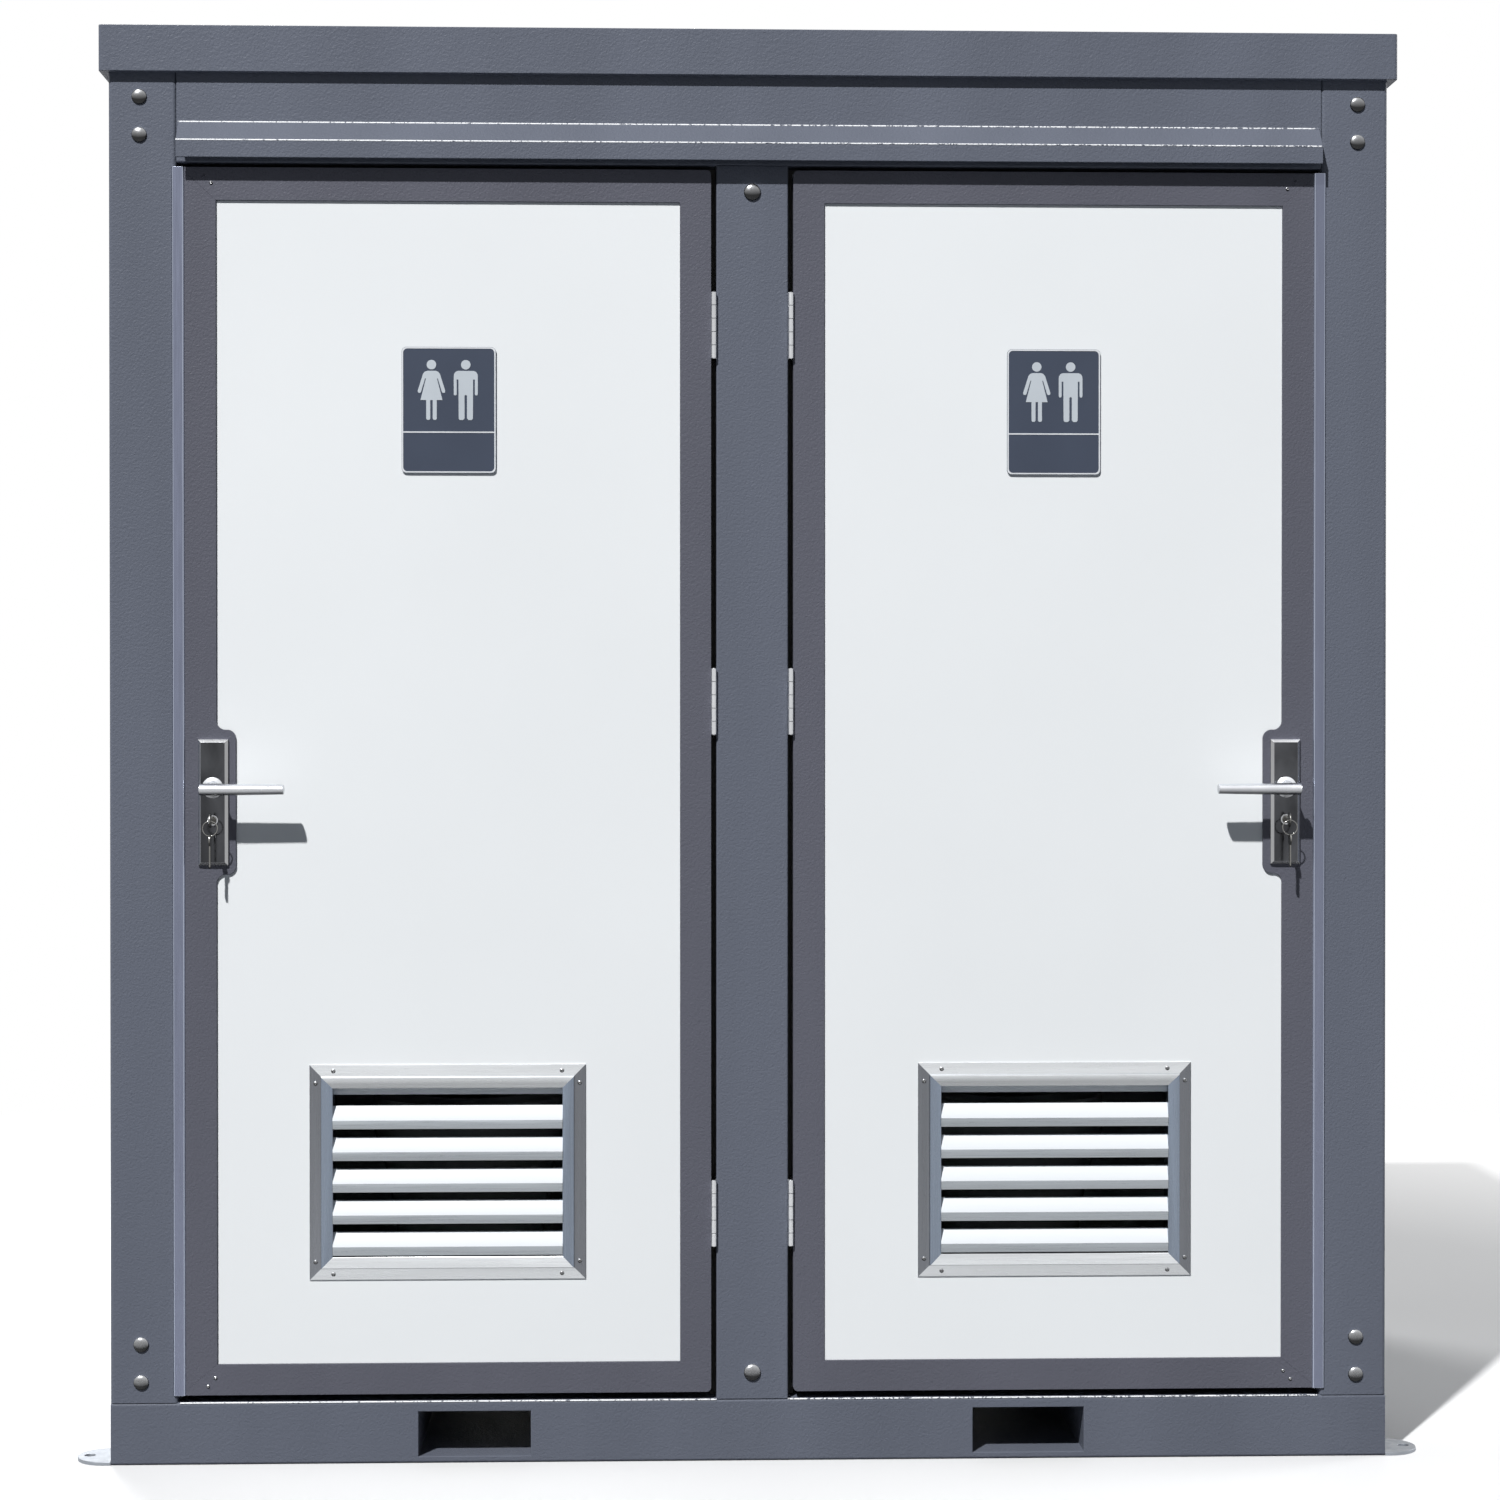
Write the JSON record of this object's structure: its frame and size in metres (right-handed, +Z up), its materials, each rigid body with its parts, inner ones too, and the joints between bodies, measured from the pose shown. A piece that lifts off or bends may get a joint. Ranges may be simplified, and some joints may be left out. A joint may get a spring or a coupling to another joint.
{
  "type": "portable toilet cabin",
  "caption": "Steel-framed portable toilet cabin with stalls side by side, outward doors with lever locks and louvres, fork pockets and anchor lugs.",
  "frame": {"origin": "on the ground, midway between the four anchor holes", "axes": "+Z up, +X to the right along the front, +Y from the front (doors) to the back"},
  "size_m": [2.224, 1.4265, 2.356],
  "materials": {
    "frame_paint": "fine textured dark blue-grey powder coat, satin",
    "door_paint": "fine textured dark grey powder coat, satin",
    "white_panel": "smooth off-white coil coating, low gloss",
    "floor_board": "dark grey resin-faced floor board, fine anti-slip grain",
    "bolt_steel": "bright zinc-plated dome heads",
    "hinge_steel": "satin stainless steel",
    "polished_steel": "polished stainless steel",
    "key_steel": "nickel-plated keys and ring",
    "seal_rubber": "black rubber gasket",
    "vent_aluminium": "satin anodised aluminium",
    "strip_aluminium": "satin aluminium trim",
    "sign_plate": "dark slate plate with pale raised figures",
    "sanitary_ceramic": "white vitreous glaze",
    "seat_plastic": "white moulded plastic",
    "button_chrome": "bright chrome",
    "drain_plastic": "grey drain pipe plastic",
    "inlet_brass": "bare brass",
    "lamp_plastic": "opal plastic lamp cover"
  },
  "bodies": {
    "cabin": {"base_front_beam": "frame_paint", "base_rear_beam": "frame_paint", "base_side_beams": "frame_paint", "fork_pockets": "frame_paint", "floor_joists": "frame_paint", "floor_panel": "floor_board", "anchor_lugs": "frame_paint", "corner_posts": "frame_paint", "centre_post": "frame_paint", "header_beam": "frame_paint", "top_rails": "frame_paint", "drip_rail": "frame_paint", "roof_cap": "frame_paint", "side_wall_panels": "white_panel", "rear_wall_panel": "white_panel", "partition_panel": "white_panel", "ceiling_panel": "white_panel", "frame_bolts": "bolt_steel", "post_hinge_leaves": "hinge_steel", "strike_plates": "hinge_steel", "door_seals": "seal_rubber", "rear_vents": "vent_aluminium", "toilet_pans": "sanitary_ceramic", "seat_hinge_posts": "polished_steel", "cisterns": "sanitary_ceramic", "drain_pipes": "drain_plastic", "water_inlets": "inlet_brass", "ceiling_lights": "lamp_plastic"},
    "right_door": {"right_door_frame": "door_paint", "right_latch_stile": "door_paint", "right_door_panel": "white_panel", "right_edge_strip": "strip_aluminium", "right_sign": "sign_plate", "right_louvre": "vent_aluminium", "right_hinge_leaves": "hinge_steel", "right_lock_plates": "polished_steel", "right_lock_case": "hinge_steel"},
    "right_lever": {"right_levers": "polished_steel"},
    "right_latch": {"right_latch_bolt": "hinge_steel"},
    "right_dead": {"right_deadbolt": "hinge_steel"},
    "right_lock_key": {"right_key": "key_steel"},
    "right_ring": {"right_key_ring": "key_steel"},
    "right_toilet_seat": {"right_seat": "seat_plastic"},
    "right_flush": {"right_flush_button": "button_chrome"},
    "left_door": {"left_door_frame": "door_paint", "left_latch_stile": "door_paint", "left_door_panel": "white_panel", "left_edge_strip": "strip_aluminium", "left_sign": "sign_plate", "left_louvre": "vent_aluminium", "left_hinge_leaves": "hinge_steel", "left_lock_plates": "polished_steel", "left_lock_case": "hinge_steel"},
    "left_lever": {"left_levers": "polished_steel"},
    "left_latch": {"left_latch_bolt": "hinge_steel"},
    "left_dead": {"left_deadbolt": "hinge_steel"},
    "left_lock_key": {"left_key": "key_steel"},
    "left_ring": {"left_key_ring": "key_steel"},
    "left_toilet_seat": {"left_seat": "seat_plastic"},
    "left_flush": {"left_flush_button": "button_chrome"}
  },
  "joints": [
    {"name": "right_door_hinge", "type": "hinge", "parent": "cabin", "child": "right_door", "pos_m": [0.06325, -0.655, 1.118], "axis": [0, 0, -1], "range_deg": [0, 90]},
    {"name": "right_lever_turn", "type": "hinge", "parent": "right_door", "child": "right_lever", "pos_m": [0.881, -0.6305, 1.109], "axis": [0, -1, 0], "range_deg": [0, 45], "stiffness_Nm_per_rad": 2, "springref_deg": -20.05},
    {"name": "right_latch_slide", "type": "slide", "parent": "right_door", "child": "right_latch", "axis": [-1, 0, 0], "range_m": [0, 0.012]},
    {"name": "right_key_turn", "type": "hinge", "parent": "right_door", "child": "right_lock_key", "pos_m": [0.881, -0.6615, 1.056], "axis": [0, -1, 0], "range_deg": [0, 90]},
    {"name": "right_dead_slide", "type": "slide", "parent": "right_door", "child": "right_dead", "axis": [1, 0, 0], "range_m": [0, 0.02]},
    {"name": "right_ring_swing", "type": "hinge", "parent": "right_lock_key", "child": "right_ring", "pos_m": [0.881, -0.6915, 1.05496], "axis": [1, 0, 0], "range_deg": [-90, 20]},
    {"name": "right_seat_hinge", "type": "hinge", "parent": "cabin", "child": "right_toilet_seat", "pos_m": [0.505, 0.372, 0.513], "axis": [-1, 0, 0], "range_deg": [0, 97]},
    {"name": "right_flush_press", "type": "slide", "parent": "cabin", "child": "right_flush", "axis": [0, 0, -1], "range_m": [0, 0.005], "stiffness_N_per_m": 1500, "springref_m": -0.006},
    {"name": "left_door_hinge", "type": "hinge", "parent": "cabin", "child": "left_door", "pos_m": [-0.06325, -0.655, 1.118], "axis": [0, 0, 1], "range_deg": [0, 90]},
    {"name": "left_lever_turn", "type": "hinge", "parent": "left_door", "child": "left_lever", "pos_m": [-0.881, -0.6305, 1.109], "axis": [0, 1, 0], "range_deg": [0, 45], "stiffness_Nm_per_rad": 2, "springref_deg": -20.05},
    {"name": "left_latch_slide", "type": "slide", "parent": "left_door", "child": "left_latch", "axis": [1, 0, 0], "range_m": [0, 0.012]},
    {"name": "left_key_turn", "type": "hinge", "parent": "left_door", "child": "left_lock_key", "pos_m": [-0.881, -0.6615, 1.056], "axis": [0, 1, 0], "range_deg": [0, 90]},
    {"name": "left_dead_slide", "type": "slide", "parent": "left_door", "child": "left_dead", "axis": [-1, 0, 0], "range_m": [0, 0.02]},
    {"name": "left_ring_swing", "type": "hinge", "parent": "left_lock_key", "child": "left_ring", "pos_m": [-0.881, -0.6915, 1.05496], "axis": [1, 0, 0], "range_deg": [-90, 20]},
    {"name": "left_seat_hinge", "type": "hinge", "parent": "cabin", "child": "left_toilet_seat", "pos_m": [-0.505, 0.372, 0.513], "axis": [-1, 0, 0], "range_deg": [0, 97]},
    {"name": "left_flush_press", "type": "slide", "parent": "cabin", "child": "left_flush", "axis": [0, 0, -1], "range_m": [0, 0.005], "stiffness_N_per_m": 1500, "springref_m": -0.006}
  ],
  "couplings": [
    {"joint": "right_latch_slide", "follows": "right_lever_turn", "m_per_rad": 0.01527},
    {"joint": "right_dead_slide", "follows": "right_key_turn", "m_per_rad": 0.01273},
    {"joint": "left_latch_slide", "follows": "left_lever_turn", "m_per_rad": 0.01527},
    {"joint": "left_dead_slide", "follows": "left_key_turn", "m_per_rad": 0.01273}
  ]
}
